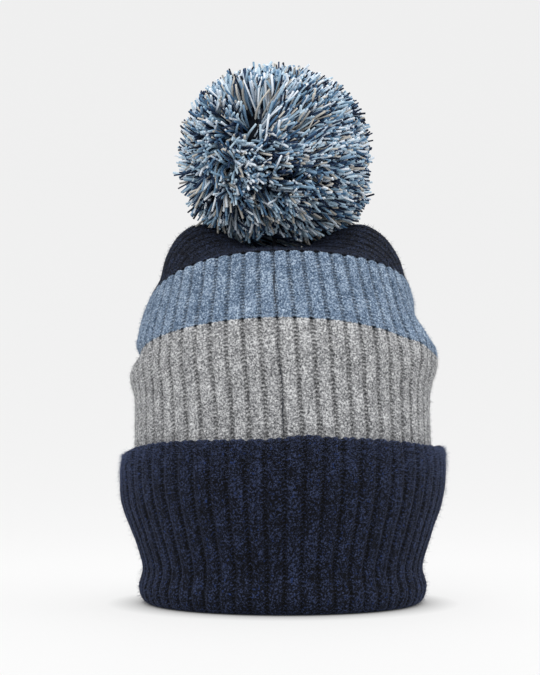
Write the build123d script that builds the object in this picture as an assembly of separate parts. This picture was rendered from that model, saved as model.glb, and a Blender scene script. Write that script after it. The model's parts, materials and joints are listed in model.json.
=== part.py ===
from build123d import *
from math import atan2, cos, degrees, radians, sin, sqrt
import os

# A ribbed knit hat with a turned-up cuff and a yarn pom-pom, standing upright on the fold of its cuff.
# Millimetres, +Z up. The origin is the centre of the ring that the hat stands on. The back seam faces -Y.

# The hat's plan is round below the crown, and a profile gives its radius at each height.
KNIT_THICKNESS = 4.0

# Heights at which one yarn ends and the next begins. The grey starts a little way down behind the cuff.
GREY_START = 72.0
BLUE_START = 133.0
CROWN_START = 171.0

# The outer face of the hat's wall, as (radius, height).
NAVY_WALL = [(67.9, 9), (67.6, 19), (71.2, 35), (75.4, 52), (78.3, 66), (78.8, GREY_START)]
GREY_WALL = [(78.8, GREY_START), (79.2, 90), (79.8, 106), (82.0, 121), (80.6, BLUE_START)]
BLUE_WALL = [(80.6, BLUE_START), (77.2, 144), (73.6, 154), (71.0, 164), (69.0, CROWN_START)]

# The turned-up cuff: its outer face leaves the floor, pinches in and flares to a rounded rim.
FOLD_OUTER = 72.0
FOLD_INNER = 66.5
FOLD_INNER_BEND = (64.6, 3)
CUFF_OUTER_FACE = [(FOLD_OUTER, 0), (74.7, 5), (74.6, 11), (73.2, 19), (78.3, 35), (84.0, 52),
                   (86.3, 67), (85.7, 75)]
CUFF_RIM_TOP = (83.2, 79.5)
CUFF_INNER_FACE = [(80.7, 75), (81.0, 67), (78.9, 52), (73.4, 35), (69.0, 19), (69.3, 9)]
CUFF_GAP_BOTTOM = (68.6, 8.2)

# The crown closes from the blue band's circle to a short ridge along X: (half width, half depth, height).
CROWN_OVALS = [(69.0, 69.0, CROWN_START), (66.8, 55, 177), (64, 42, 182.5), (60.5, 30, 189), (54, 18, 197), (45, 9, 204)]

# The pom-pom is a slightly squat ball that turns about its middle in a round seat pressed into the crown.
POM_CENTRE = Vector(-4, -8, 241.5)
POM_RADIUS = 54.4
POM_HALF_HEIGHT = 49.9
POM_SEAT_RADIUS = POM_RADIUS + 0.6
POM_TIE_CONE_DEGREES = 26.0
POM_HEART_RADIUS = 14.0
POM_SKIN_ANGLES = (-40, -10, 20, 50, 75)

# The tie yarn runs from the knot inside the crown, through the gathered hole, to the pom-pom's middle.
TIE_RADIUS = 1.7
GATHER_YARN_RADIUS = 1.4
GATHER_HOLE_RADIUS = 6.4
GATHER_GAP = 0.1
KNOT_RADIUS = 7.5
KNOT_HEIGHT = 6.0
BINDING_RING_RADIUS = 5.6
BINDING_YARN_RADIUS = 1.5
RUNNING_GAP = 0.5
SEAT_BOTTOM = POM_CENTRE.Z - POM_SEAT_RADIUS
KNOT_TOP = SEAT_BOTTOM - KNIT_THICKNESS / 2 - GATHER_YARN_RADIUS

# The back seam's allowance is a ridge on the inside of the wall, from near the fold up to the crown.
SEAM_WIDTH = 3.2
SEAM_DEPTH = 2.0
SEAM_GAP = 0.5

# A blank woven care label, caught by one short edge in the back seam's allowance behind the cuff.
LABEL_LENGTH = 36.0
LABEL_HEIGHT = 24.0
LABEL_THICKNESS = 0.6
LABEL_REST_DEGREES = 16.0
LABEL_FOOT = NAVY_WALL[2]
LABEL_HEAD = NAVY_WALL[3]
LABEL_STITCHES = 5
STITCH_RADIUS = 0.45
STITCH_LENGTH = 0.8


def inset(profile, distance):
    """The same profile, moved in towards the axis."""
    return [(radius - distance, height) for radius, height in profile]


def turned(*edges):
    """The solid that a closed outline in the X-Z plane sweeps round the Z axis."""
    return revolve(Plane.XZ * make_face(edges), Axis.Z)


def ribbed_cuff():
    """The navy rib: the wall's lower part, the fold that the hat stands on, and the turned-up layer."""
    inner_face = inset(NAVY_WALL, KNIT_THICKNESS)
    return turned(
        Line((FOLD_INNER, 0), (FOLD_OUTER, 0)),
        Spline(*CUFF_OUTER_FACE),
        ThreePointArc(CUFF_OUTER_FACE[-1], CUFF_RIM_TOP, CUFF_INNER_FACE[0]),
        Spline(*CUFF_INNER_FACE),
        ThreePointArc(CUFF_INNER_FACE[-1], CUFF_GAP_BOTTOM, NAVY_WALL[0]),
        Spline(*NAVY_WALL),
        Line(NAVY_WALL[-1], inner_face[-1]),
        Spline(*inner_face),
        ThreePointArc(inner_face[0], FOLD_INNER_BEND, (FOLD_INNER, 0)),
    )


def knit_band(profile):
    """One yarn's stretch of the wall, cut off level at both ends."""
    inner_face = inset(profile, KNIT_THICKNESS)
    return turned(
        Spline(*profile),
        Line(profile[-1], inner_face[-1]),
        Spline(*inner_face),
        Line(inner_face[0], profile[0]),
    )


def filled_crown(distance):
    """Everything inside the crown's outer face moved in by a distance, with the pom-pom's seat pressed in."""
    ovals = []
    for half_width, half_depth, height in CROWN_OVALS:
        drop = distance if height > CROWN_START else 0
        ovals.append(Pos(0, 0, height - drop) * Ellipse(half_width - distance, half_depth - distance))
    return loft(ovals) - Pos(*POM_CENTRE) * Sphere(POM_SEAT_RADIUS + distance)


def navy_crown():
    """The gathered crown, with the hole that its drawn-up edge leaves under the pom-pom."""
    shell = filled_crown(0) - filled_crown(KNIT_THICKNESS)
    return shell - on_tie(SEAT_BOTTOM) * Cylinder(GATHER_HOLE_RADIUS, 4 * KNIT_THICKNESS)


def back_seam():
    """The seam allowance: a strip that follows the inside of the wall at the middle of the back."""
    wall = NAVY_WALL[1:] + GREY_WALL[1:] + BLUE_WALL[1:]
    face = [(KNIT_THICKNESS + SEAM_GAP - radius, height) for radius, height in wall]
    edge = [(depth + SEAM_DEPTH, height) for depth, height in reversed(face)]
    outline = make_face(Polyline(*face, *edge, close=True))
    return extrude(Plane.YZ * outline, SEAM_WIDTH / 2, both=True)


def on_tie(height):
    """A place on the tie's axis, at a height."""
    return Pos(POM_CENTRE.X, POM_CENTRE.Y, height)


def crown_gather_yarn():
    """The yarn that draws the crown's edge together, lying against the hole's edge."""
    ring = Torus(GATHER_HOLE_RADIUS - GATHER_YARN_RADIUS - GATHER_GAP, GATHER_YARN_RADIUS)
    return on_tie(SEAT_BOTTOM - KNIT_THICKNESS / 2) * ring


def anchor_knot():
    """The knot inside the crown, wider than the ring of gather yarn above it."""
    lump = Cylinder(KNOT_RADIUS, KNOT_HEIGHT)
    lump = fillet(lump.edges().filter_by(GeomType.CIRCLE), 0.45 * KNOT_HEIGHT)
    return on_tie(KNOT_TOP - KNOT_HEIGHT / 2 - RUNNING_GAP) * lump


def pom_tie():
    """The doubled tie yarn, from the top of the knot up to just under the binding."""
    bottom = KNOT_TOP - RUNNING_GAP
    top = POM_CENTRE.Z - BINDING_RING_RADIUS - BINDING_YARN_RADIUS - RUNNING_GAP
    return on_tie((bottom + top) / 2) * Cylinder(TIE_RADIUS, top - bottom)


def waist_binding():
    """The yarn wound round the waist of the strands: a ring whose axis lies along Y."""
    return Pos(*POM_CENTRE) * Rot(90, 0, 0) * Torus(BINDING_RING_RADIUS, BINDING_YARN_RADIUS)


def pom_strands():
    """The ball of cut strands, parted below for the tie and in the middle for the binding."""
    cone = radians(POM_TIE_CONE_DEGREES)
    reach = 1 / sqrt((sin(cone) / POM_RADIUS) ** 2 + (cos(cone) / POM_HALF_HEIGHT) ** 2)
    cone_mouth = (reach * sin(cone), -reach * cos(cone))
    cone_root = (POM_HEART_RADIUS * sin(cone), -POM_HEART_RADIUS * cos(cone))
    skin = [cone_mouth]
    for angle in POM_SKIN_ANGLES:
        skin.append((POM_RADIUS * cos(radians(angle)), POM_HALF_HEIGHT * sin(radians(angle))))
    ball = turned(
        Spline(*skin, (0, POM_HALF_HEIGHT), tangents=[(1, 0.5), (-1, 0)]),
        Line((0, POM_HALF_HEIGHT), (0, POM_HEART_RADIUS)),
        ThreePointArc((0, POM_HEART_RADIUS), (POM_HEART_RADIUS, 0), cone_root),
        Line(cone_root, cone_mouth),
    )
    return Pos(*POM_CENTRE) * ball


def label_place():
    """The foot of the label's hinge: just off the seam's ridge, leaning back with the wall."""
    rise = LABEL_HEAD[1] - LABEL_FOOT[1]
    lean = degrees(atan2(LABEL_HEAD[0] - LABEL_FOOT[0], rise))
    ridge_face = KNIT_THICKNESS + SEAM_GAP + SEAM_DEPTH - LABEL_FOOT[0]
    return Pos(0, ridge_face + STITCH_LENGTH + 2 * LABEL_THICKNESS, LABEL_FOOT[1]) * Rot(lean, 0, 0)


def care_label():
    """A blank label, held along one short edge and lying back towards the wall."""
    plate = Box(LABEL_LENGTH, LABEL_THICKNESS, LABEL_HEIGHT, align=(Align.MIN, Align.CENTER, Align.MIN))
    return label_place() * Rot(0, 0, LABEL_REST_DEGREES) * plate


def label_stitches():
    """The short stitches that hold the label's edge to the seam allowance."""
    stitches = []
    for count in range(LABEL_STITCHES):
        height = LABEL_HEIGHT * (count + 0.5) / LABEL_STITCHES
        stitch = Rot(90, 0, 0) * Cylinder(STITCH_RADIUS, STITCH_LENGTH)
        stitches.append(label_place() * Pos(0, -LABEL_THICKNESS - STITCH_LENGTH / 2, height) * stitch)
    return Compound(children=stitches)


NODES = {
    "ribbed_cuff": ribbed_cuff(),
    "grey_band": knit_band(GREY_WALL),
    "blue_band": knit_band(BLUE_WALL),
    "navy_crown": navy_crown(),
    "back_seam": back_seam(),
    "crown_gather_yarn": crown_gather_yarn(),
    "anchor_knot": anchor_knot(),
    "pom_tie": pom_tie(),
    "waist_binding": waist_binding(),
    "pom_strands": pom_strands(),
    "care_label": care_label(),
    "label_stitches": label_stitches(),
}

os.makedirs("parts", exist_ok=True)
for name, solid in NODES.items():
    print(name, "volume mm3", round(solid.volume), "solids", len(solid.solids()), "valid", solid.is_valid)
    export_step(solid, f"parts/{name}.step")
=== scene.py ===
"""The looks of a ribbed pom pom beanie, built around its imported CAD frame.

Metres, +Z up, with the back seam towards -Y."""
import json
import math

import bpy
import numpy as np
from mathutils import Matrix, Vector

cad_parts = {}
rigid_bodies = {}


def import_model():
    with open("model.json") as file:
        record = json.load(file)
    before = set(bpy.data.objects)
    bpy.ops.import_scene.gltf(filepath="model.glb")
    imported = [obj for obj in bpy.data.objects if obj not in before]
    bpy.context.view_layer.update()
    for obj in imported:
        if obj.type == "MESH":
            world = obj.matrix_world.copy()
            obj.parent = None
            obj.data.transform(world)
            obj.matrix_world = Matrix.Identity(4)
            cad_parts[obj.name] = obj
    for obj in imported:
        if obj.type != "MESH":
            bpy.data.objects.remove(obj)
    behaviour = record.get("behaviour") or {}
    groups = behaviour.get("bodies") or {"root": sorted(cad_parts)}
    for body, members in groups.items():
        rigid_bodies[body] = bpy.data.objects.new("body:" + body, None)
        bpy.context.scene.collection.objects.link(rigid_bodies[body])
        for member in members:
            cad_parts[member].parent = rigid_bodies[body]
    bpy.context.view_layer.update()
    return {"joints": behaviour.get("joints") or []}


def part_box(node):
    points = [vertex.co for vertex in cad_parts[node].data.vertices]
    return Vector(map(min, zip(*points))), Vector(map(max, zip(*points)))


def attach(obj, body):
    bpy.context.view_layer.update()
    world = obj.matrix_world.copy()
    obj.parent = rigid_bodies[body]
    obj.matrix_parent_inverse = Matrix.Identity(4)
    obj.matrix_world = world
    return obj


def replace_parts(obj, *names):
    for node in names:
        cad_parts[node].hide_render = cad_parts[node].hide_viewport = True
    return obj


MM = 0.001
TURN = 2 * math.pi

# The knit: ribs round the hat, and the size of its stitches.
RIBS = 60
COLUMNS_PER_RIB = 12
COLUMNS = RIBS * COLUMNS_PER_RIB
COURSE = 1.85 * MM
FINE_ROW = 0.6 * MM
CUFF_ROW = 0.9 * MM
COARSE_ROW = 2.6 * MM
RIB_DEPTH = 0.95 * MM
GROOVE_WIDTH = 0.15
LEG_RELIEF = 0.35 * MM
KNIT_THICKNESS = 4 * MM
BACK = -math.pi / 2

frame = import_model()

# Places taken from the frame. The ball is a little squat, so its height isn't twice its radius.
CROWN_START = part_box("navy_crown")[0].z
CUFF_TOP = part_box("ribbed_cuff")[1].z
POM_LOW, POM_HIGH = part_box("pom_strands")
POM_MIDDLE = Vector(((POM_LOW.x + POM_HIGH.x) / 2, (POM_LOW.y + POM_HIGH.y) / 2, 0))
POM_RADIUS = (POM_HIGH.x - POM_LOW.x) / 2
POM_SQUASH = 0.917
POM_MIDDLE.z = POM_HIGH.z - POM_RADIUS * POM_SQUASH
TIE_X = POM_MIDDLE.x
TIE_Y = POM_MIDDLE.y
# How far the strands keep from the tie, and how far both rolling joints together tip the ball.
TIE_ROOM = 3.6 * MM
POM_ROLL = math.radians(17)


# ---------------------------------------------------------------- meshes

def mesh_piece(name, points, faces, body, material, tones=None):
    """A smooth-shaded mesh object that rides on a CAD body."""
    mesh = bpy.data.meshes.new(name)
    mesh.from_pydata(points.reshape(-1, 3).tolist(), [], faces)
    materials = material if isinstance(material, list) else [material]
    for item in materials:
        mesh.materials.append(item)
    if tones is not None:
        mesh.polygons.foreach_set("material_index", tones)
    mesh.polygons.foreach_set("use_smooth", [True] * len(mesh.polygons))
    mesh.update()
    piece = bpy.data.objects.new(name, mesh)
    bpy.context.scene.collection.objects.link(piece)
    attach(piece, body)
    return piece


def ring_faces(rows, columns, closed):
    """Quads of a grid that closes round its columns, and round its rows too when closed."""
    row = np.arange(rows if closed else rows - 1)
    column = np.arange(columns)
    row, column = np.meshgrid(row, column, indexing="ij")
    next_row = (row + 1) % rows
    next_column = (column + 1) % columns
    corners = [row * columns + column, row * columns + next_column,
               next_row * columns + next_column, next_row * columns + column]
    return np.stack([corner.ravel() for corner in corners], axis=1).tolist()


def grid_normals(points):
    """Outward normals of a closed ring grid, by rows up the outside and columns round it."""
    along = np.roll(points, -1, axis=0) - np.roll(points, 1, axis=0)
    around = np.roll(points, -1, axis=1) - np.roll(points, 1, axis=1)
    normals = np.cross(around, along)
    length = np.linalg.norm(normals, axis=2, keepdims=True)
    return normals / np.maximum(length, 1e-12)


def curve_between(a, b, c, d, t):
    """The smooth curve from b to c at shares t, with a before them and d after."""
    return 0.5 * (2 * b + (c - a) * t + (2 * a - 5 * b + 4 * c - d) * t ** 2
                  + (3 * b - a - 3 * c + d) * t ** 3)


def smooth_path(points, step):
    """Points about one step apart on a smooth curve through the given ones."""
    points = np.array(points, float)
    ends = np.vstack([2 * points[0] - points[1], points, 2 * points[-1] - points[-2]])
    fine = []
    t = np.linspace(0, 1, 40, endpoint=False)[:, None]
    for a, b, c, d in zip(ends, ends[1:], ends[2:], ends[3:]):
        fine.append(curve_between(a, b, c, d, t))
    fine = np.vstack(fine + [points[-1:]])
    travel = np.concatenate([[0], np.cumsum(np.linalg.norm(np.diff(fine, axis=0), axis=1))])
    stops = np.linspace(0, travel[-1], max(2, round(travel[-1] / step) + 1))
    return np.stack([np.interp(stops, travel, fine[:, axis]) for axis in range(fine.shape[1])], axis=1)


# ---------------------------------------------------------------- the knitted wall

# Soft folds in the wall: (angle in degrees, height, push outwards, half width in degrees, half height).
FOLDS = [
    (0, 128 * MM, 4.6 * MM, 26, 11 * MM),
    (352, 149 * MM, -2.2 * MM, 20, 6 * MM),
    (318, 137 * MM, -1.6 * MM, 6, 11 * MM),
    (328, 128 * MM, 1.4 * MM, 7, 12 * MM),
    (180, 116 * MM, 1.8 * MM, 24, 7 * MM),
    (183, 128 * MM, -3.6 * MM, 22, 4 * MM),
    (178, 150 * MM, 1.6 * MM, 28, 10 * MM),
    (60, 120 * MM, 2.0 * MM, 20, 16 * MM),
    (118, 135 * MM, -1.8 * MM, 16, 12 * MM),
    (235, 118 * MM, 0.8 * MM, 18, 14 * MM),
    (20, 60 * MM, 1.6 * MM, 26, 14 * MM),
    (0, 76 * MM, 1.8 * MM, 12, 5 * MM),
    (180, 48 * MM, 1.2 * MM, 30, 14 * MM),
    (150, 62 * MM, -1.4 * MM, 22, 18 * MM),
    (75, 66 * MM, 1.2 * MM, 25, 15 * MM),
]

# How far the knit has slumped or ridden up: (angle in degrees, height, rise, half width, half height).
SLUMPS = [
    (270, 134 * MM, 3.2 * MM, 52, 24 * MM),
    (180, 132 * MM, -5.0 * MM, 46, 20 * MM),
    (0, 134 * MM, -6.6 * MM, 46, 22 * MM),
    (180, 171 * MM, -10.5 * MM, 42, 14 * MM),
    (0, 171 * MM, -3.0 * MM, 40, 12 * MM),
    (90, 150 * MM, -3.0 * MM, 40, 30 * MM),
]
# Above this height the ribs turn slowly round the hat, by this many radians for each metre.
TWIST_START = 85 * MM
TWIST_PER_METRE = -0.9


def angle_gap(angle, centre_degrees):
    """Signed angle from a direction, wrapped into half a turn either way."""
    return (angle - math.radians(centre_degrees) + math.pi) % TURN - math.pi


def swell(bumps, angle, height):
    """The sum of soft bumps, each round one direction and height of the wall."""
    total = np.zeros_like(angle)
    for degrees, centre, amount, half_width, half_height in bumps:
        sideways = angle_gap(angle, degrees) / math.radians(half_width)
        upwards = (height - centre) / half_height
        total += amount * np.exp(-sideways ** 2 - upwards ** 2)
    return total


def rib_count(angle, height):
    """How many ribs round from the seam a point lies, with the ribs' slow sway and twist."""
    twist = TWIST_PER_METRE * np.maximum(0, height - TWIST_START)
    sway = 0.012 * np.sin(3 * angle + 40 * height) + 0.010 * np.sin(7 * angle - 75 * height)
    return RIBS * (angle - BACK - twist + sway * np.abs(np.sin((angle - BACK) / 2))) / TURN


def rib_relief(phase):
    """A broad flat rib with a narrow groove and a faint line down its middle."""
    from_groove = np.minimum(phase, 1 - phase)
    groove = np.exp(-(from_groove / GROOVE_WIDTH) ** 2)
    middle = np.exp(-((from_groove - 0.5) / 0.07) ** 2)
    return RIB_DEPTH * (1 - groove - 0.22 * middle)


def stitch_relief(phase, course):
    """The slanted legs of the knit stitches: four columns of legs to a rib, slanting by turns."""
    leg = np.floor(phase * 4)
    across = phase * 4 - leg
    slant = np.where(leg % 2 == 0, 1.0, -1.0)
    ridge = 0.5 + 0.5 * np.cos(TURN * (course + slant * 0.75 * (across - 0.5)))
    return LEG_RELIEF * ridge


def knit_noise(points, size):
    """Smooth unevenness, a few waves of about the given size in metres."""
    x, y, z = (points[..., axis] / size for axis in range(3))
    return (np.sin(x * 1.7 + 2.1 * np.sin(z * 1.3 + y)) + np.sin(y * 2.1 + 1.7 * np.sin(x * 1.1 - z))
            + np.sin(z * 2.3 + 1.9 * np.sin(y * 1.4 + x * 0.7))) / 3


def knitted(name, points, weight, courses, height_for_phase, body, material):
    """Turns a smooth closed ring grid into rib knit, and makes its piece. weight and courses go by rows."""
    angle = np.broadcast_to(np.arange(COLUMNS) * TURN / COLUMNS, points.shape[:2])
    ribs = rib_count(angle, height_for_phase)
    phase = ribs % 1.0
    relief = rib_relief(phase) + stitch_relief(phase, courses) - RIB_DEPTH
    relief = relief + 0.14 * MM * knit_noise(points, 0.9 * MM) + 0.2 * MM * knit_noise(points, 7 * MM)
    points = points + grid_normals(points) * (relief * weight)[..., None]
    piece = mesh_piece(name, points, ring_faces(len(points), COLUMNS, True), body, material)
    mark_stitches(piece.data, ribs, np.broadcast_to(courses, ribs.shape))
    return points


def mark_stitches(mesh, ribs, courses):
    """Stores each face corner's rib count and course, which the knit's material reads."""
    next_ribs = np.roll(ribs, -1, axis=1)
    next_ribs[:, -1] += RIBS
    next_courses = np.roll(courses, -1, axis=0)
    corners = [(ribs, courses), (next_ribs, courses),
               (np.roll(next_ribs, -1, axis=0), next_courses), (np.roll(ribs, -1, axis=0), next_courses)]
    nothing = np.zeros_like(ribs)
    values = np.stack([np.stack([rib, course, nothing], axis=2) for rib, course in corners], axis=2)
    layer = mesh.attributes.new("stitches", "FLOAT_VECTOR", "CORNER")
    layer.data.foreach_set("vector", values.astype(np.float32).ravel())


def column(*parts):
    """Row weights joined into one column."""
    return np.concatenate(parts)[:, None]


def wall_radius(height):
    """The wall's outer radius at a height, before its folds."""
    wall = np.array(NAVY_WALL + GREY_WALL[1:] + BLUE_WALL[1:]) * MM
    return np.interp(height, wall[:, 1], wall[:, 0])


def swept(profile):
    """A ring grid from one outline of (radius, height) rows, slumped and folded like the wall."""
    angle = np.arange(COLUMNS)[None, :] * TURN / COLUMNS + 0 * profile[:, :1]
    level = profile[:, 1:] + 0 * angle
    height = level + swell(SLUMPS, angle, level)
    radius = profile[:, :1] + wall_radius(height) - wall_radius(level) + swell(FOLDS, angle, height)
    return np.stack([radius * np.cos(angle), radius * np.sin(angle), height], axis=2)


def travel_of(profile):
    """How far along the outline each of its rows is, in courses."""
    steps = np.linalg.norm(np.diff(profile, axis=0), axis=1)
    return column([0], np.cumsum(steps)) / COURSE


def inset(profile, distance):
    """The same outline, moved in towards the axis."""
    return [(radius - distance, height) for radius, height in profile]


# Outlines of the wall's outer face and of the turned-up cuff, as (radius, height) in millimetres.
NAVY_WALL = [(67.9, 9), (67.6, 19), (71.2, 35), (75.4, 52), (78.3, 66), (78.8, 72)]
GREY_WALL = [(78.8, 72), (79.0, 90), (79.4, 106), (80.6, 119), (79.8, 133)]
BLUE_WALL = [(79.8, 133), (76.8, 144), (73.6, 154), (71.0, 164), (69.0, 171)]
CUFF_OUTER = [(69.2, 0.2), (71.2, 0.7), (73.5, 3.2), (74.8, 9), (73.2, 19), (78.3, 35), (84.0, 52),
              (86.0, 67), (85.6, 74)]
CUFF_RIM = [(85.6, 74), (84.9, 77.6), (83.2, 79.2), (81.6, 77.8), (80.9, 74)]
CUFF_INNER = [(80.9, 74), (80.6, 66), (78.7, 52), (73.4, 35), (69.6, 19), (69.6, 9), (69.2, 5)]


def band(name, wall, body, material):
    """One yarn's stretch of the wall, closed over its edges and down its inside."""
    outer = smooth_path(wall, FINE_ROW / MM)
    inner = smooth_path(inset(wall, KNIT_THICKNESS / MM), COARSE_ROW / MM)[::-1]
    profile = np.vstack([outer, inner]) * MM
    weight = column(np.ones(len(outer)), np.full(len(inner), -0.5))
    points = swept(profile)
    height = profile[:, 1:] + 0 * points[..., 2]
    return knitted(name, points, weight, travel_of(profile), height, body, material)[:len(outer)]


def turned_up_cuff(material):
    """The cuff's outer layer, from the fold on the floor up over its rim and down its inside."""
    outer = smooth_path(CUFF_OUTER, CUFF_ROW / MM)
    rim = smooth_path(CUFF_RIM, CUFF_ROW / MM)[1:-1]
    inner = smooth_path(CUFF_INNER, COARSE_ROW / MM)
    profile = np.vstack([outer, rim, inner]) * MM
    floor_ease = np.clip(outer[:, 1] / 4, 0, 1)
    rim_ease = np.linspace(1, 0.5, len(rim))
    weight = column(floor_ease, rim_ease, np.full(len(inner), 0.4))
    height = np.zeros((len(profile), COLUMNS))
    courses = travel_of(profile)
    points = knitted("turned_up_cuff", cuff_points(profile), weight, courses, height, "hat", material)
    return points[:len(outer) + len(rim) // 2]


def cuff_points(profile):
    """The cuff's ring grid: its rim rises and dips a little, more towards its top."""
    points = swept(profile)
    share = np.clip(points[..., 2] / CUFF_TOP, 0, 1)
    angle = np.arctan2(points[..., 1], points[..., 0])
    lift = 1.3 * MM * np.exp(-(angle_gap(angle, 277) / 0.12) ** 2)
    lift += 1.6 * MM * np.exp(-(angle_gap(angle, 0) / 0.2) ** 2)
    lift += 0.5 * MM * np.sin(5 * angle + 1.0) - 2.6 * MM * np.exp(-(angle_gap(angle, 180) / 0.7) ** 2)
    points[..., 2] += lift * share ** 3
    return points


def wall_behind_cuff(material):
    """The inner half of the navy rib, from the fold up to where the grey yarn starts."""
    inner = smooth_path(inset(NAVY_WALL, KNIT_THICKNESS / MM), 1.3)[::-1]
    bend = smooth_path([(63.9, 9), (64.4, 3.4), (66.6, 0.4), (69.2, 0.2)], 0.9)[1:]
    hidden = smooth_path([(69.2, 0.2), (68.2, 5)] + NAVY_WALL, COARSE_ROW / MM)[1:]
    profile = np.vstack([inner, bend, hidden]) * MM
    weight = column(-0.6 * np.clip(inner[:, 1] / 10, 0, 1), np.zeros(len(bend) + len(hidden)))
    height = np.zeros((len(profile), COLUMNS))
    courses = travel_of(profile)
    knitted("wall_behind_cuff", swept(profile)[::-1], weight[::-1], courses[::-1], height, "hat", material)


# ---------------------------------------------------------------- the crown

# The crown's outline from the blue band to the gathered hole, at its sides, at the back towards the seam
# and at the front, as (share of the way in from the wall to the hole, height in millimetres).
CROWN_SIDE = [(0.0, 171), (0.02, 176), (0.05, 183), (0.09, 189), (0.15, 195), (0.23, 200), (0.33, 203.5),
              (0.46, 203), (0.60, 198), (0.76, 191.5), (0.90, 188), (1.0, 187.2)]
CROWN_BACK = [(0.0, 171), (0.03, 172.0), (0.08, 173.1), (0.15, 174.4), (0.24, 175.8), (0.35, 177.4),
              (0.47, 179.2), (0.59, 181.0), (0.70, 182.8), (0.82, 184.8), (0.92, 186.4), (1.0, 187.2)]
CROWN_FRONT = [(0.0, 171), (0.02, 174.5), (0.06, 179.0), (0.11, 183.0), (0.19, 187.0), (0.29, 189.6),
               (0.41, 190.4), (0.54, 189.8), (0.67, 188.9), (0.80, 188.0), (0.91, 187.4), (1.0, 187.2)]
# How sharply the raised sides fall away round the crown, towards the seam and towards the front.
BACK_SHARPNESS = 4.6
FRONT_SHARPNESS = 1.8
CROWN_ROW_COUNT = 108
CROWN_INNER_ROWS = 24
HOLE_RADIUS = 3.4 * MM
CROWN_THICKNESS = 3.4 * MM


def spline_rows(points, count):
    """Evenly counted rows on a smooth curve through points, whatever their spacing."""
    points = np.array(points, float)
    ends = np.vstack([2 * points[0] - points[1], points, 2 * points[-1] - points[-2]])
    place = np.linspace(0, len(points) - 1, count)
    start = np.minimum(place.astype(int), len(points) - 2)
    t = (place - start)[:, None]
    a, b, c, d = (ends[start + offset] for offset in range(4))
    return curve_between(a, b, c, d, t)


def crown_surface():
    """The crown's smooth outer surface, high at the two sides and low where the pom-pom sits."""
    side = spline_rows(CROWN_SIDE, CROWN_ROW_COUNT)
    back = spline_rows(CROWN_BACK, CROWN_ROW_COUNT)
    front = spline_rows(CROWN_FRONT, CROWN_ROW_COUNT)
    angle = np.arange(COLUMNS)[None, :] * TURN / COLUMNS + 0 * side[:, :1]
    frontness = np.clip(np.sin(angle), 0, 1) ** 0.5
    sharpness = BACK_SHARPNESS + (FRONT_SHARPNESS - BACK_SHARPNESS) * frontness
    sideness = np.abs(np.cos(angle)) ** sharpness
    middle = back[:, None, :] + (front - back)[:, None, :] * frontness[..., None]
    outline = middle + (side[:, None, :] - middle) * sideness[..., None]
    share = outline[..., 0]
    height = outline[..., 1] * MM
    height = height + swell(SLUMPS, angle, height) * np.clip(1 - share / 0.35, 0, 1)
    wall = wall_radius(height) + swell(FOLDS, angle, height) * np.clip(1 - share / 0.2, 0, 1)
    x = (1 - share) * wall * np.cos(angle) + share * (TIE_X + HOLE_RADIUS * np.cos(angle))
    y = (1 - share) * wall * np.sin(angle) + share * (TIE_Y + HOLE_RADIUS * np.sin(angle))
    return np.stack([x, y, height], axis=2), share


def knit_crown(material):
    """The crown's shell: ribs that run in to the gathered hole and fade as they crowd together."""
    outer, share = crown_surface()
    before = 2 * outer[:1] - outer[1:2]
    after = 2 * outer[-1:] - outer[-2:-1]
    normals = grid_normals(np.vstack([before, outer, after]))[1:-1]
    rows = np.linspace(CROWN_ROW_COUNT - 1, 0, CROWN_INNER_ROWS).astype(int)
    inner = outer[rows] - CROWN_THICKNESS * normals[rows]
    inner[..., 2] = np.maximum(inner[..., 2], outer[:1, :, 2])
    points = np.vstack([outer, inner])
    fade = np.clip(1.15 - share, 0, 1) ** 0.8
    weight = np.vstack([fade, np.zeros((CROWN_INNER_ROWS, COLUMNS))])
    steps = np.linalg.norm(np.diff(points[:, COLUMNS // 8], axis=0), axis=1)
    courses = column([0], np.cumsum(steps)) / COURSE
    height = np.full(points.shape[:2], CROWN_START)
    return knitted("knit_crown", points, weight, courses, height, "hat", material)[:CROWN_ROW_COUNT]


# ---------------------------------------------------------------- yarn

def tubes(points, radius, sides=4):
    """Closed tubes along many equal paths. points is (tubes, stops, 3), radius (tubes, stops)."""
    count, stops, _ = points.shape
    along = np.gradient(points, axis=1)
    along /= np.maximum(np.linalg.norm(along, axis=2, keepdims=True), 1e-12)
    overall = points[:, -1] - points[:, 0]
    helper = np.where((np.abs(overall[:, 2]) > 0.8 * np.linalg.norm(overall, axis=1))[:, None],
                      np.array([1.0, 0, 0]), np.array([0, 0, 1.0]))
    side = np.cross(along, helper[:, None, :])
    side /= np.maximum(np.linalg.norm(side, axis=2, keepdims=True), 1e-12)
    other = np.cross(along, side)
    spin = np.arange(sides) * TURN / sides
    ring = (side[:, :, None, :] * np.cos(spin)[:, None] + other[:, :, None, :] * np.sin(spin)[:, None])
    vertices = points[:, :, None, :] + ring * radius[:, :, None, None]
    first = (np.arange(count) * stops * sides)[:, None, None]
    stop = np.arange(stops - 1)[None, :, None] * sides
    corner = np.arange(sides)[None, None, :]
    turn = (corner + 1) % sides
    quads = np.stack([first + stop + corner, first + stop + sides + corner,
                      first + stop + sides + turn, first + stop + turn], axis=3)
    root = first[:, 0] + np.arange(sides)
    tip = first[:, 0] + (stops - 1) * sides + np.arange(sides)[::-1]
    faces = quads.reshape(-1, 4).tolist() + root.tolist() + tip.tolist()
    return vertices.reshape(-1, 3), faces


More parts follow.
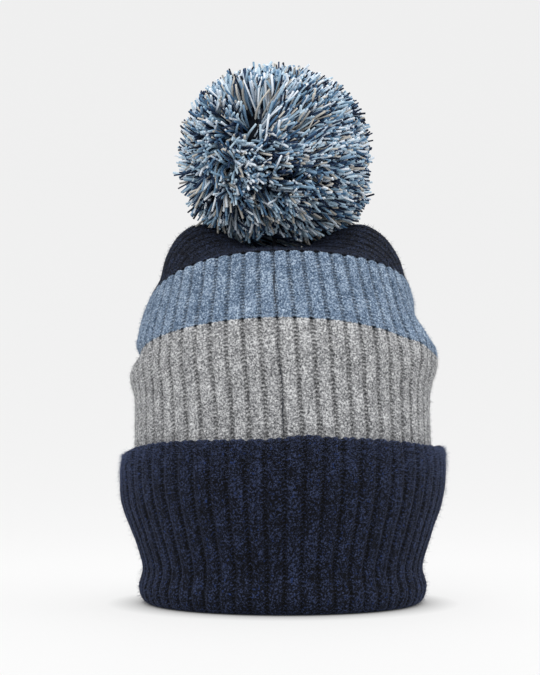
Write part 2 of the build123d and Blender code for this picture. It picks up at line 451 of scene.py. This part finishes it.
def yarn(name, path, radius, plies, body, material, twist_every=5 * MM):
    """A twisted yarn along a path: its plies wind round each other."""
    path = np.array(path, float)
    stops = smooth_path(path / MM, 0.8) * MM
    along = np.gradient(stops, axis=0)
    travel = np.concatenate([[0], np.cumsum(np.linalg.norm(np.diff(stops, axis=0), axis=1))])
    along /= np.maximum(np.linalg.norm(along, axis=1, keepdims=True), 1e-12)
    helper = np.array([0.31, 0.77, 0.55])
    side = np.cross(along, helper)
    side /= np.linalg.norm(side, axis=1, keepdims=True)
    other = np.cross(along, side)
    runs = []
    for ply in range(plies):
        spin = (travel / twist_every + ply / plies)[:, None] * TURN
        runs.append(stops + 0.5 * radius * (side * np.cos(spin) + other * np.sin(spin)))
    runs = np.array(runs)
    points, faces = tubes(runs, np.full(runs.shape[:2], 0.62 * radius), 8)
    return mesh_piece(name, points, faces, body, material)


# ---------------------------------------------------------------- the pom-pom

STRANDS = 11200
TUFTS = 520
# Yarn colours in the pom-pom: (name, share of the strands, strand radius, how uneven its length is).
POM_YARNS = [
    ("light_blue", 0.27, 0.71 * MM, 0.026),
    ("mid_blue", 0.16, 0.70 * MM, 0.026),
    ("pale", 0.20, 0.68 * MM, 0.03),
    ("beige", 0.10, 0.64 * MM, 0.03),
    ("dark_navy", 0.27, 0.57 * MM, 0.04),
]
# How thick a strand is along its length, and how many sides it has.
STRAND_TAPER = np.array([[0.8, 0.9, 0.95, 1.0, 1.0, 0.86]])
STRAND_SIDES = 4
# Where a strand starts, bends and is cut, as shares of the ball's radius.
STRAND_ROOT = 0.40
STRAND_BEND = 0.76
STRAND_LENGTH = 0.95
SHORTEST_STRAND = 0.80
HOOKED_SHARE = 0.35
# Whorls in the strands, as (direction, how much they part, how much they turn, reach).
WHORLS = [
    ((-0.44, -0.89, 0.06), 0.12, 0.32, 0.55),
    ((0.30, -0.93, -0.20), 0.03, -0.16, 0.5),
    ((0.75, 0.55, 0.35), 0.06, 0.25, 0.5),
    ((-0.35, 0.85, -0.1), 0.06, -0.25, 0.5),
    ((-0.85, 0.1, 0.5), 0.06, 0.2, 0.45),
    ((0.1, -0.1, 1.0), 0.08, -0.15, 0.45),
]
# The whole ball's strands are brushed a little this way.
BRUSHED = (0.28, 0.0, 0.08)
# How square the ball is across its top and its bottom: 2 is an ellipse.
TOP_SQUARENESS = 2.3
BOTTOM_SQUARENESS = 2.75
TOP_SQUASH = 0.885
BOTTOM_SQUASH = 0.97


def even_directions(count):
    """Directions spread evenly over a ball."""
    index = np.arange(count) + 0.5
    height = 1 - 2 * index / count
    turn = TURN * index / ((1 + math.sqrt(5)) / 2)
    flat = np.sqrt(1 - height ** 2)
    return np.stack([flat * np.cos(turn), flat * np.sin(turn), height], axis=1)


def unit(vectors):
    """The same directions at length 1."""
    return vectors / np.maximum(np.linalg.norm(vectors, axis=-1, keepdims=True), 1e-12)


def strand_lean(directions):
    """How the strands lean sideways: away from and round each whorl, and in slow waves."""
    lean = np.zeros_like(directions)
    for centre, parting, turning, reach in WHORLS:
        centre = unit(np.array(centre))
        away = directions - centre
        distance = np.linalg.norm(away, axis=1, keepdims=True)
        near = np.minimum(distance / 0.5, 1) * np.exp(-(distance / reach) ** 2)
        lean += near * (2 * parting * unit(away) + 2 * turning * unit(np.cross(centre, away)))
    wave = directions * 3.2
    lean += 0.07 * np.stack([np.sin(wave[:, 1] + 2 * wave[:, 2]), np.sin(wave[:, 2] * 1.3 + wave[:, 0]),
                             np.sin(wave[:, 0] * 1.7 + wave[:, 1])], axis=1)
    return lean - directions * np.sum(lean * directions, axis=1, keepdims=True)


def squareness(tips):
    """How much further out a strand ends than on an ellipse.

    The ball's lower front is round, so that it can roll on the crown's dome."""
    out = unit(tips)
    in_front = np.clip(out[:, 1:2] / 0.5, 0, 1)
    bottom = BOTTOM_SQUARENESS + (2 - BOTTOM_SQUARENESS) * in_front
    power = np.where(out[:, 2:] < 0, bottom, TOP_SQUARENESS)
    flat = np.linalg.norm(out[:, :2], axis=1, keepdims=True)
    return (flat ** power + np.abs(out[:, 2:]) ** power) ** (-1 / power)


def pom_strand_paths(rng, unevenness):
    """Every strand's path from near the middle of the ball to its cut end."""
    base = unit(even_directions(STRANDS) + rng.normal(0, 0.02, (STRANDS, 3)))
    tufts = unit(even_directions(TUFTS) + rng.normal(0, 0.035, (TUFTS, 3)))
    own_tuft = np.argmax(base @ tufts.T, axis=1)
    tuft_lean = rng.normal(0, 0.18, (TUFTS, 3))[own_tuft]
    gather = 0.48 * (tufts[own_tuft] - base)
    lean = strand_lean(base) + tuft_lean + gather + rng.normal(0, 0.07, (STRANDS, 3)) + np.array(BRUSHED)
    tuft_length = rng.normal(0, 0.018, TUFTS)[own_tuft]
    length = STRAND_LENGTH + tuft_length + unevenness * rng.normal(0, 1, STRANDS)
    length = np.clip(length, SHORTEST_STRAND, 1.0)
    curl = rng.normal(0, 0.055, (STRANDS, 3))
    tip = unit(base + lean) * length[:, None]
    tip *= squareness(tip)
    root = unit(base + 0.15 * lean) * STRAND_ROOT
    bend = unit(base + 0.34 * lean) * STRAND_BEND + curl
    t = np.linspace(0, 1, STRAND_TAPER.size)[None, :, None]
    paths = (1 - t) ** 2 * root[:, None] + 2 * t * (1 - t) * bend[:, None] + t ** 2 * tip[:, None]
    hook = rng.normal(0, 0.035, (STRANDS, 1, 3)) * (rng.random((STRANDS, 1, 1)) < HOOKED_SHARE)
    paths += hook * np.maximum(0, t - 0.6) ** 2 / 0.16
    paths[..., 2] *= np.where(paths[..., 2] > 0, TOP_SQUASH, BOTTOM_SQUASH)
    return np.array(POM_MIDDLE) + paths * POM_RADIUS


def part_for_tie(paths):
    """Pushes strands out of the cone that the tie needs when the ball rolls in its seat."""
    away = paths - np.array(POM_MIDDLE)
    flat = np.hypot(away[..., 0], away[..., 1])
    room = TIE_ROOM + np.tan(POM_ROLL) * np.maximum(0, -away[..., 2])
    push = np.where(away[..., 2] < 0, np.maximum(1, room / np.maximum(flat, 0.1 * MM)), 1)
    paths[..., :2] = np.array(POM_MIDDLE)[:2] + away[..., :2] * push[..., None]


def pom_pom(materials):
    """The ball of cut strands, one piece for each colour of yarn, over a dense core that is made apart and
    coloured dark as painted shade.
    """
    rng = np.random.default_rng(7)
    shares = [share for _, share, _, _ in POM_YARNS]
    own = rng.choice(len(POM_YARNS), STRANDS, p=shares)
    paths = pom_strand_paths(rng, np.array([uneven for _, _, _, uneven in POM_YARNS])[own])
    part_for_tie(paths)
    for number, (name, _, radius, _) in enumerate(POM_YARNS):
        mine = paths[own == number]
        widths = radius * rng.uniform(0.82, 1.18, (len(mine), 1)) * STRAND_TAPER
        points, faces = tubes(mine, widths, STRAND_SIDES)
        tones = strand_tones(len(mine), len(materials[name]), rng)
        mesh_piece(f"pom_{name}_strands", points, faces, "pom", materials[name], tones)


def strand_tones(count, tones, rng):
    """Which tone each face takes: the darkest tone at the root as painted shade, then the strand's own, and
    one tone brighter at the cut as a painted highlight.
    """
    own = rng.integers(1, tones, count)
    spans = STRAND_TAPER.size - 1
    walls = np.repeat(own[:, None], spans * STRAND_SIDES, axis=1)
    # The two spans nearest the root and the root cap take the darkest tone, painted shade deep in the ball.
    walls[:, :2 * STRAND_SIDES] = 0
    # The cut tip takes one tone brighter than its strand, a painted highlight.
    tips = np.minimum(own + 1, tones - 1)
    return np.concatenate([walls.ravel(), np.zeros(count, int), tips]).astype(np.int32)


def pom_shade_core(material):
    """The dense middle of the ball, where the strands are packed too tightly to see between, coloured dark
    as painted shade.
    """
    rings, columns = 30, 48
    latitude = np.linspace(-1.05, 1.55, rings)[:, None]
    longitude = np.arange(columns)[None, :] * TURN / columns
    radius = POM_RADIUS * (0.60 + 0.02 * np.sin(9 * longitude) * np.cos(11 * latitude))
    flat = radius * np.cos(latitude)
    outside = np.stack([flat * np.cos(longitude), flat * np.sin(longitude),
                        radius * np.sin(latitude) * POM_SQUASH], axis=2)
    points = np.vstack([outside, 0.55 * outside[::-1]]) + np.array(POM_MIDDLE)
    return mesh_piece("pom_shade_core", points, ring_faces(len(points), columns, True), "pom", material)


# ---------------------------------------------------------------- fuzz

def fuzz(name, surface, count, length, radius, material, seed, gather):
    """Loose fibres that stand off a knitted surface, each a thin spike that curves over.

    gather above 1 crowds them towards the surface's last rows."""
    rng = np.random.default_rng(seed)
    rows, columns, _ = surface.shape
    normals = np.cross(np.roll(surface, -1, axis=1) - surface, np.gradient(surface, axis=0))
    row = 1 + ((rows - 2) * rng.random(count) ** (1 / gather)).astype(int)
    column_of = rng.integers(0, columns, count)
    foot = surface[row, column_of]
    up = unit(normals[row, column_of])
    drift = unit(rng.normal(0, 1, (count, 3)))
    reach = length * rng.uniform(0.4, 1.0, (count, 1)) ** 1.5
    lean = rng.uniform(0.3, 1.3, (count, 1))
    middle = foot + reach * (0.55 * up + 0.35 * lean * drift)
    curl = unit(rng.normal(0, 1, (count, 3)))
    tip = middle + reach * (0.22 * up + 0.40 * lean * drift + 0.30 * curl)
    paths = np.stack([foot - 0.3 * MM * up, middle, tip], axis=1)
    widths = radius * rng.uniform(0.7, 1.2, (count, 1)) * np.array([[1.0, 0.8, 0.3]])
    points, faces = tubes(paths, widths, 3)
    return mesh_piece(name, points, faces, "hat", material)


# ---------------------------------------------------------------- small yarn parts

def wall_path(wall, angle, depth):
    """A line up the wall at an angle for each of its rows, a depth under its face."""
    height = wall[:, 1] + swell(SLUMPS, angle, wall[:, 1])
    radius = wall_radius(height) + swell(FOLDS, angle, height) - depth
    return np.stack([radius * np.cos(angle), radius * np.sin(angle), height], axis=1)


def seam_line(material):
    """The dark line of seaming yarn that lies in the groove at the middle of the back."""
    wall = smooth_path(GREY_WALL + BLUE_WALL[1:], 2.0) * MM
    angle = BACK + TWIST_PER_METRE * np.maximum(0, wall[:, 1] - TWIST_START)
    angle = angle + 0.006 * np.sin(wall[:, 1] / (5 * MM))
    return yarn("seam_line", wall_path(wall, angle, 0.85 * MM), 0.36 * MM, 2, "hat", material, 3.4 * MM)


def seam_allowance(material):
    """The two edges sewn together inside: a braid-like ridge down the inside of the wall."""
    wall = smooth_path(NAVY_WALL[1:] + GREY_WALL[1:] + BLUE_WALL[1:], 2.0) * MM
    angle = BACK + 0.006 * np.sin(wall[:, 1] / (4 * MM))
    path = wall_path(wall, angle, KNIT_THICKNESS + 1.6 * MM)
    piece = yarn("seam_allowance", path, 1.5 * MM, 3, "hat", material, 7 * MM)
    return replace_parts(piece, "back_seam")


def ring_path(centre, radius, turns, rise, axis, stops):
    """A coil round the Y or Z axis through a centre."""
    t = np.linspace(0, turns * TURN, stops)
    along = rise * (t / (turns * TURN) - 0.5)
    flat = [radius * np.cos(t), radius * np.sin(t)]
    order = [flat[0], flat[1], along] if axis == "Z" else [flat[0], along, flat[1]]
    return np.stack(order, axis=1) + np.array(centre)


def gather_yarn(material):
    """The yarn that draws the crown's edge together under the pom-pom."""
    low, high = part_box("crown_gather_yarn")
    centre = (low + high) / 2
    path = ring_path(centre, 3.9 * MM, 1.02, 0.8 * MM, "Z", 40)
    piece = yarn("gather_yarn", path, 1.1 * MM, 2, "hat", material)
    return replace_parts(piece, "crown_gather_yarn")


def tie_yarn(material):
    """The doubled yarn from the knot up to the binding."""
    low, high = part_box("pom_tie")
    path = [(TIE_X, TIE_Y, low.z), (TIE_X, TIE_Y, (low.z + high.z) / 2), (TIE_X, TIE_Y, high.z)]
    piece = yarn("tie_yarn", path, 1.35 * MM, 2, "tie", material, 6 * MM)
    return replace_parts(piece, "pom_tie")


def knot(material):
    """The knot inside the crown: the yarn wound round on itself a few times, with two short ends."""
    low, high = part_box("anchor_knot")
    middle = (low.z + high.z) / 2
    t = np.linspace(0, 4 * TURN, 90)
    reach = 3.6 * MM + 1.6 * MM * np.sin(1.6 * t)
    height = middle + 1.5 * MM * np.sin(1.25 * t + 1)
    coil = np.stack([TIE_X + reach * np.cos(t), TIE_Y + reach * np.sin(t), height], axis=1)
    piece = yarn("knot", coil, 1.35 * MM, 2, "tie", material)
    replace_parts(piece, "anchor_knot")
    for side in (-1, 1):
        end = [(TIE_X + side * 3 * MM, TIE_Y, middle - 1 * MM),
               (TIE_X + side * 6 * MM, TIE_Y + 1 * MM, middle - 5 * MM),
               (TIE_X + side * 7 * MM, TIE_Y - side * 2 * MM, middle - 13 * MM)]
        tail = yarn(f"knot_end_{'left' if side < 0 else 'right'}", end, 1.2 * MM, 2, "tie", material)
    return piece


def binding(material):
    """The yarn wound round the waist of the strands."""
    path = ring_path(POM_MIDDLE, 5.4 * MM, 3, 3.2 * MM, "Y", 90)
    piece = yarn("binding_yarn", path, 0.9 * MM, 2, "binding", material)
    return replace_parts(piece, "waist_binding")


# ---------------------------------------------------------------- the care label

LABEL_WIDTH = 36 * MM
LABEL_HEIGHT = 24 * MM
LABEL_SHEET = 0.35 * MM
LABEL_REST_DEGREES = 16
LABEL_STITCHES = 5
STITCH_RADIUS = 0.42 * MM
LABEL_HINGE = next(joint for joint in frame["joints"] if joint["name"] == "label_flap")


def label_frame():
    """The label's hinge foot, its way out from the hinge, its way up and its thin way."""
    foot = np.array(LABEL_HINGE["pos_m"])
    up = unit(np.array(LABEL_HINGE["axis"]))
    across = np.array([1.0, 0, 0])
    turned = math.radians(LABEL_REST_DEGREES)
    out = across * math.cos(turned) + np.cross(up, across) * math.sin(turned)
    return foot, out, up, np.cross(out, up)


def care_label(material):
    """A blank satin label that curves a little."""
    foot, out, up, thin = label_frame()
    columns, rows = 37, 25
    u, v = np.meshgrid(np.linspace(0, 1, columns), np.linspace(0, 1, rows))
    curve = 0.7 * MM * np.sin(math.pi * u) * (0.7 + 0.3 * np.cos(2 * v)) + 0.12 * MM * np.sin(9 * v) * u
    middle = (foot + u[..., None] * LABEL_WIDTH * out + v[..., None] * LABEL_HEIGHT * up
              - curve[..., None] * thin)
    front = middle + LABEL_SHEET / 2 * thin
    back = middle - LABEL_SHEET / 2 * thin
    points = np.vstack([front.reshape(-1, 3), back.reshape(-1, 3)])
    piece = mesh_piece("care_label_sheet", points, sheet_faces(rows, columns), "label", material)
    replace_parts(piece, "care_label")
    return piece


def sheet_faces(rows, columns):
    """Faces of a thin closed sheet: its front, its back and its four edges."""
    index = np.arange(rows * columns).reshape(rows, columns)
    back = index + rows * columns
    corners = [index[:-1, :-1], index[:-1, 1:], index[1:, 1:], index[1:, :-1]]
    front = np.stack([corner.ravel() for corner in corners], axis=1)
    faces = front.tolist() + (front[:, ::-1] + rows * columns).tolist()
    border = list(index[0]) + list(index[1:, -1]) + list(index[-1, -2::-1]) + list(index[-2:0:-1, 0])
    for near, far in zip(border, border[1:] + border[:1]):
        faces.append([int(far), int(near), int(back.ravel()[near]), int(back.ravel()[far])])
    return faces


def stitches(material):
    """The short stitches that hold the label's edge to the seam."""
    foot, _, up, _ = label_frame()
    paths = []
    for count in range(LABEL_STITCHES):
        at = foot + up * LABEL_HEIGHT * (count + 0.5) / LABEL_STITCHES
        paths.append([at + np.array([0, -0.4 * MM, 0]), at + np.array([0, -1.0 * MM, 0.2 * MM]),
                      at + np.array([0, -1.7 * MM, 0])])
    paths = np.array(paths)
    points, faces = tubes(paths, np.full(paths.shape[:2], STITCH_RADIUS), 8)
    piece = mesh_piece("label_stitch_yarn", points, faces, "hat", material)
    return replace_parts(piece, "label_stitches")


# ---------------------------------------------------------------- materials

def paint(red, green, blue):
    """A colour given as it shows on a screen, 0 to 255, as Blender's linear colour."""
    shares = [value / 255 for value in (red, green, blue)]
    linear = [share / 12.92 if share <= 0.04045 else ((share + 0.055) / 1.055) ** 2.4 for share in shares]
    return (*linear, 1.0)


def plain(name, colour, roughness=0.9, sheen=0.0, sheen_tint=(1, 1, 1, 1)):
    """A matt fibre of one colour."""
    material = bpy.data.materials.new(name)
    material.use_nodes = True
    shader = material.node_tree.nodes["Principled BSDF"]
    shader.inputs["Base Color"].default_value = colour
    shader.inputs["Roughness"].default_value = roughness
    shader.inputs["Specular IOR Level"].default_value = 0.2
    shader.inputs["Sheen Weight"].default_value = sheen
    shader.inputs["Sheen Roughness"].default_value = 0.38
    shader.inputs["Sheen Tint"].default_value = sheen_tint
    return material


class Maths:
    """Short ways to add and join a material's maths nodes."""

    def __init__(self, tree):
        self.nodes = tree.nodes
        self.links = tree.links

    def feed(self, socket, value):
        """Sets a socket to a number, or joins another node's output to it."""
        if isinstance(value, (int, float)):
            socket.default_value = value
        else:
            self.links.new(value, socket)

    def step(self, operation, *values):
        """The output of a maths node that works on the given values."""
        node = self.nodes.new("ShaderNodeMath")
        node.operation = operation
        for socket, value in zip(node.inputs, values):
            self.feed(socket, value)
        return node.outputs[0]

    def wave(self, value):
        """0 to 1 and back once for every whole number."""
        return self.step("MULTIPLY_ADD", self.step("COSINE", self.step("MULTIPLY", value, TURN)), 0.5, 0.5)

    def between(self, value, low, high, at_low, at_high):
        """A value carried over from one range to another."""
        node = self.nodes.new("ShaderNodeMapRange")
        for socket, given in zip(("Value", "From Min", "From Max", "To Min", "To Max"),
                                 (value, low, high, at_low, at_high)):
            self.feed(node.inputs[socket], given)
        return node.outputs[0]


def stitch_shade(maths, wobble, painted_groove_shade, painted_leg_shade):
    """How light each point of the knit is: the stitches drawn as painted shade, zigzag dots down the
    recessed grooves and faint slanted gaps between the legs on the ribs.
    """
    stitches = maths.nodes.new("ShaderNodeAttribute")
    stitches.attribute_name = "stitches"
    parts = maths.nodes.new("ShaderNodeSeparateXYZ")
    maths.links.new(stitches.outputs["Vector"], parts.inputs[0])
    across = maths.step("MULTIPLY_ADD", wobble, 0.16, maths.step("SUBTRACT", parts.outputs["X"], 0.08))
    centred = maths.step("SUBTRACT", maths.step("FRACT", across), 0.5)
    from_groove = maths.step("SUBTRACT", 0.5, maths.step("ABSOLUTE", centred))
    course = maths.step("MULTIPLY_ADD", wobble, 0.9, parts.outputs["Y"])
    slanted = maths.step("MULTIPLY_ADD", from_groove, 2.6, course)
    dots = maths.wave(slanted)
    in_groove = maths.between(from_groove, 0.08, 0.21, 1.0, 0.0)
    groove = maths.step("MULTIPLY", in_groove, maths.step("MULTIPLY_ADD", dots, 0.75, 0.25))
    legs = maths.step("MULTIPLY", dots, painted_leg_shade)
    dark = maths.step("MULTIPLY_ADD", groove, painted_groove_shade, legs)
    return maths.step("SUBTRACT", 1.0, dark)


# How fine the yarn's marl is: its grains, clouds, patches and flecks, in Blender's texture scales.
GRAIN_SCALE = 1700.0
CLOUD_SCALE = 1100.0
PATCH_SCALE = 130.0
FLECK_SCALE = 800.0


def knit_material(name, stops, painted_groove_shade, painted_leg_shade, sheen, sheen_tint, fleck=None):
    """Marled yarn: fine grains of a few tones, and stitches that show as zigzags of painted shade down the
    grooves.
    """
    material = plain(name, stops[0][1], 0.95, sheen, sheen_tint)
    maths = Maths(material.node_tree)
    nodes = maths.nodes
    links = maths.links
    shader = nodes["Principled BSDF"]
    place = nodes.new("ShaderNodeTexCoord")
    soft = noise(nodes, links, place, CLOUD_SCALE, 2.0, 0.6)
    patches = noise(nodes, links, place, PATCH_SCALE, 2.0, 0.5)
    grains = nodes.new("ShaderNodeTexVoronoi")
    grains.inputs["Scale"].default_value = GRAIN_SCALE
    links.new(place.outputs["Object"], grains.inputs["Vector"])
    cloudy = maths.step("MULTIPLY", soft.outputs["Fac"], 0.75)
    tone = maths.step("MULTIPLY_ADD", grains.outputs["Color"], 0.42, cloudy)
    tone = maths.step("MULTIPLY_ADD", patches.outputs["Fac"], 0.27, tone)
    ramp = nodes.new("ShaderNodeValToRGB")
    set_ramp(ramp, stops)
    links.new(tone, ramp.inputs["Fac"])
    colour = ramp.outputs["Color"]
    if fleck:
        colour = with_flecks(nodes, links, place, colour, fleck)
    # The painted shade of the grooves and leg gaps darkens the colour and also feeds the bump.
    light = stitch_shade(maths, soft.outputs["Fac"], painted_groove_shade, painted_leg_shade)
    shaded = nodes.new("ShaderNodeVectorMath")
    shaded.operation = "SCALE"
    links.new(colour, shaded.inputs[0])
    links.new(light, shaded.inputs["Scale"])
    links.new(shaded.outputs[0], shader.inputs["Base Color"])
    bump = nodes.new("ShaderNodeBump")
    bump.inputs["Strength"].default_value = 0.7
    bump.inputs["Distance"].default_value = 0.3 * MM
    links.new(maths.step("MULTIPLY_ADD", light, 1.0, tone), bump.inputs["Height"])
    links.new(bump.outputs["Normal"], shader.inputs["Normal"])
    return material


def noise(nodes, links, place, scale, detail, roughness):
    """A noise texture in the object's own space."""
    texture = nodes.new("ShaderNodeTexNoise")
    texture.inputs["Scale"].default_value = scale
    texture.inputs["Detail"].default_value = detail
    texture.inputs["Roughness"].default_value = roughness
    links.new(place.outputs["Object"], texture.inputs["Vector"])
    return texture


def set_ramp(ramp, stops):
    """Gives a colour ramp its stops, as (place, colour)."""
    elements = ramp.color_ramp.elements
    while len(elements) < len(stops):
        elements.new(0.5)
    for element, (place, colour) in zip(elements, stops):
        element.position = place
        element.color = colour


def with_flecks(nodes, links, place, colour, fleck):
    """Small scattered flecks of another colour in the yarn."""
    spots = noise(nodes, links, place, FLECK_SCALE, 1.0, 0.4)
    limit = nodes.new("ShaderNodeMapRange")
    limit.inputs["From Min"].default_value = 0.66
    limit.inputs["From Max"].default_value = 0.76
    links.new(spots.outputs["Fac"], limit.inputs["Value"])
    mix = nodes.new("ShaderNodeMix")
    mix.data_type = "RGBA"
    links.new(limit.outputs[0], mix.inputs["Factor"])
    links.new(colour, mix.inputs["A"])
    mix.inputs["B"].default_value = fleck
    return mix.outputs["Result"]


def grey_knit():
    stops = [(0.50, paint(76, 77, 80)), (0.73, paint(152, 153, 155)), (0.95, paint(222, 223, 224))]
    return knit_material("grey_knit", stops, 0.64, 0.16, 0.15, (1, 1, 1, 1))


def blue_knit():
    stops = [(0.50, paint(44, 62, 84)), (0.73, paint(106, 126, 150)), (0.95, paint(178, 194, 212))]
    return knit_material("blue_knit", stops, 0.62, 0.16, 0.12, (0.8, 0.9, 1, 1))


def navy_knit():
    stops = [(0.53, paint(2, 3, 8)), (0.73, paint(9, 13, 24)), (0.93, paint(54, 64, 94))]
    return knit_material("navy_knit", stops, 0.86, 0.30, 0.21, (0.20, 0.27, 0.55, 1), paint(36, 54, 100))


# The crown's knit is a slightly darker copy of the cuff's navy knit: painted shade from the pom-pom above
# it.
def shaded_crown_knit():
    stops = [(0.52, paint(1, 2, 5)), (0.74, paint(6, 9, 18)), (0.94, paint(52, 63, 90))]
    return knit_material("shaded_crown_knit", stops, 0.84, 0.35, 0.04, (0.20, 0.28, 0.58, 1))


def pom_materials():
    """Four tones of each yarn in the pom-pom: the first, darkest, is painted shade for deep in the ball, the
    other three are the strands' own tones, and a cut tip takes one step brighter as a painted highlight.
    """
    tones = {
        "light_blue": [(36, 53, 70), (124, 154, 177), (155, 181, 201), (184, 205, 220)],
        "mid_blue": [(20, 36, 56), (68, 101, 133), (90, 124, 155), (124, 155, 183)],
        "pale": [(64, 74, 86), (186, 200, 215), (207, 218, 229), (226, 233, 241)],
        "beige": [(56, 56, 58), (154, 153, 150), (178, 175, 168), (200, 196, 188)],
        "dark_navy": [(7, 12, 21), (14, 24, 41), (21, 35, 58), (38, 56, 84)],
    }
    made = {}
    for name, colours in tones.items():
        made[name] = []
        for tone, colour in enumerate(colours):
            made[name].append(plain(f"pom_{name}_{tone}", paint(*colour), 0.8))
    return made


# ---------------------------------------------------------------- building

def build_hat():
    """The knitted parts and their loose fibres."""
    navy = navy_knit()
    cuff = turned_up_cuff(navy)
    wall_behind_cuff(navy)
    grey = band("grey_knit_band", GREY_WALL, "hat", grey_knit())
    blue = band("blue_knit_band", BLUE_WALL, "hat", blue_knit())
    crown = knit_crown(shaded_crown_knit())
    # The navy fibres are lighter than the navy yarn, a painted sheen along the cuff; the rim's fibres are
    # lighter still and crowd at the rim, a painted highlight where it catches the light.
    navy_sheen_fibre = plain("navy_sheen_fibre", paint(60, 70, 98), 0.8)
    rim_highlight_fibre = plain("rim_highlight_fibre", paint(84, 96, 130), 0.8)
    grey_fibre = plain("grey_fibre", paint(160, 161, 163), 0.8)
    blue_fibre = plain("blue_fibre", paint(118, 136, 158), 0.8)
    # The crown's fibres are a darker copy of the cuff's navy fibres, painted shade under the pom-pom.
    shaded_crown_fibre = plain("shaded_crown_fibre", paint(46, 54, 76), 0.8)
    # Each coat: its name, the surface under it, how many fibres, their length and radius, their colour,
    # the seed of their random draws, and how much they crowd towards the surface's last rows.
    coats = [
        ("cuff_fuzz", cuff, 14000, 2.3 * MM, 0.042 * MM, navy_sheen_fibre, 11, 1.0),
        ("cuff_rim_fuzz", cuff[-44:], 12000, 2.2 * MM, 0.045 * MM, rim_highlight_fibre, 12, 4.0),
        ("grey_fuzz", grey[8:], 14000, 1.6 * MM, 0.055 * MM, grey_fibre, 13, 1.0),
        ("blue_fuzz", blue, 11000, 1.6 * MM, 0.055 * MM, blue_fibre, 14, 1.0),
        ("crown_fuzz", crown[:80], 12000, 1.8 * MM, 0.045 * MM, shaded_crown_fibre, 15, 1.0),
    ]
    for coat in coats:
        fuzz(*coat)


def stand_for_nodes():
    """Which visual pieces stand for which CAD nodes."""
    objects = bpy.data.objects
    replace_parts(objects["turned_up_cuff"], "ribbed_cuff")
    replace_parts(objects["grey_knit_band"], "grey_band")
    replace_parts(objects["blue_knit_band"], "blue_band")
    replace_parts(objects["knit_crown"], "navy_crown")
    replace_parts(objects["pom_light_blue_strands"], "pom_strands")


def build_small_parts():
    """The seam, the tie and its knot, the binding and the label."""
    dark = plain("seam_yarn", paint(46, 49, 56), 0.85)
    seam_line(dark)
    seam_allowance(dark)
    gather_yarn(dark)
    tie_yarn(dark)
    knot(dark)
    binding(dark)
    stitches(dark)
    care_label(plain("label_satin", paint(232, 232, 228), 0.45))


# ---------------------------------------------------------------- light and camera

def area_light(name, place, target, size, power):
    """A square soft light aimed at a point."""
    data = bpy.data.lights.new(name, "AREA")
    data.shape = "SQUARE"
    data.size = size
    data.energy = power
    lamp = bpy.data.objects.new(name, data)
    bpy.context.scene.collection.objects.link(lamp)
    lamp.visible_camera = False
    lamp.location = place
    lamp.rotation_euler = (Vector(target) - Vector(place)).to_track_quat("-Z", "Y").to_euler()


def paper_bowl():
    """A pale bowl of paper under and all round the hat, whose glow darkens where something stands close to
    it, a painted contact shadow.
    """
    radius = [0.0, 0.5, 0.9, 1.3, 1.7, 2.0, 2.2, 2.3, 2.3]
    height = [0, 0, 0.02, 0.09, 0.25, 0.5, 0.85, 1.3, 3.0]
    outline = smooth_path(list(zip(radius, height)), 0.06)
    outline[:, 1] = np.maximum(outline[:, 1], 0)
    columns = 96
    angle = np.arange(columns) * TURN / columns
    points = np.array([[(r * math.cos(a), r * math.sin(a), z) for a in angle] for r, z in outline])
    mesh = bpy.data.meshes.new("sweep")
    mesh.from_pydata(points.reshape(-1, 3).tolist(), [], ring_faces(len(points), columns, False))
    mesh.polygons.foreach_set("use_smooth", [True] * len(mesh.polygons))
    mesh.materials.append(bright_paper())
    sweep = bpy.data.objects.new("sweep", mesh)
    bpy.context.scene.collection.objects.link(sweep)


def bright_paper():
    """Matt paper that mostly glows, as a light table lit from behind does; the glow is dimmed where
    something stands close, a painted contact shadow.
    """
    paper = plain("sweep_paper", (0.14, 0.14, 0.14, 1), 0.9)
    glow = paper.node_tree.nodes["Principled BSDF"].inputs
    glow["Emission Color"].default_value = (1, 1, 1, 1)
    # Ambient occlusion dims the glow near the hat: a painted contact shadow.
    contact_shadow_paint = paper.node_tree.nodes.new("ShaderNodeAmbientOcclusion")
    contact_shadow_paint.inputs["Distance"].default_value = 0.018
    strength = Maths(paper.node_tree).step("MULTIPLY", contact_shadow_paint.outputs["AO"], 0.725)
    paper.node_tree.links.new(strength, glow["Emission Strength"])
    return paper


def studio():
    """Three soft lights and an even pale surrounding."""
    world = bpy.data.worlds.new("studio")
    world.use_nodes = True
    world.node_tree.nodes["Background"].inputs["Color"].default_value = (1, 1, 1, 1)
    world.node_tree.nodes["Background"].inputs["Strength"].default_value = 0.86
    bpy.context.scene.world = world
    area_light("high_front", (-0.3, -0.9, 1.1), (0, 0, 0.12), 0.9, 8.6)
    area_light("right_side", (1.5, -0.45, 0.95), (0, 0, 0.12), 1.0, 7.4)
    area_light("overhead", (0.1, 0.2, 1.3), (0, 0, 0.1), 1.0, 7.0)


CAMERA_PLACE = (-0.0066, -0.510, 0.048)
CAMERA_LOOKS_UP_DEGREES = 10.3


def camera():
    """The camera stands half a metre away, low down, and looks a little upwards."""
    data = bpy.data.cameras.new("camera")
    data.lens = 50
    data.sensor_width = 36
    data.clip_start = 0.01
    view = bpy.data.objects.new("camera", data)
    bpy.context.scene.collection.objects.link(view)
    view.location = CAMERA_PLACE
    view.rotation_euler = (math.radians(90 + CAMERA_LOOKS_UP_DEGREES), 0, 0)
    bpy.context.scene.camera = view


build_hat()
build_small_parts()
pom_pom(pom_materials())
# The core's near-black colour is painted shade deep inside the ball.
pom_shade_core(plain("pom_shade_core", paint(14, 19, 28), 0.95))
stand_for_nodes()
paper_bowl()
studio()
camera()
bpy.context.scene.view_settings.view_transform = "Standard"
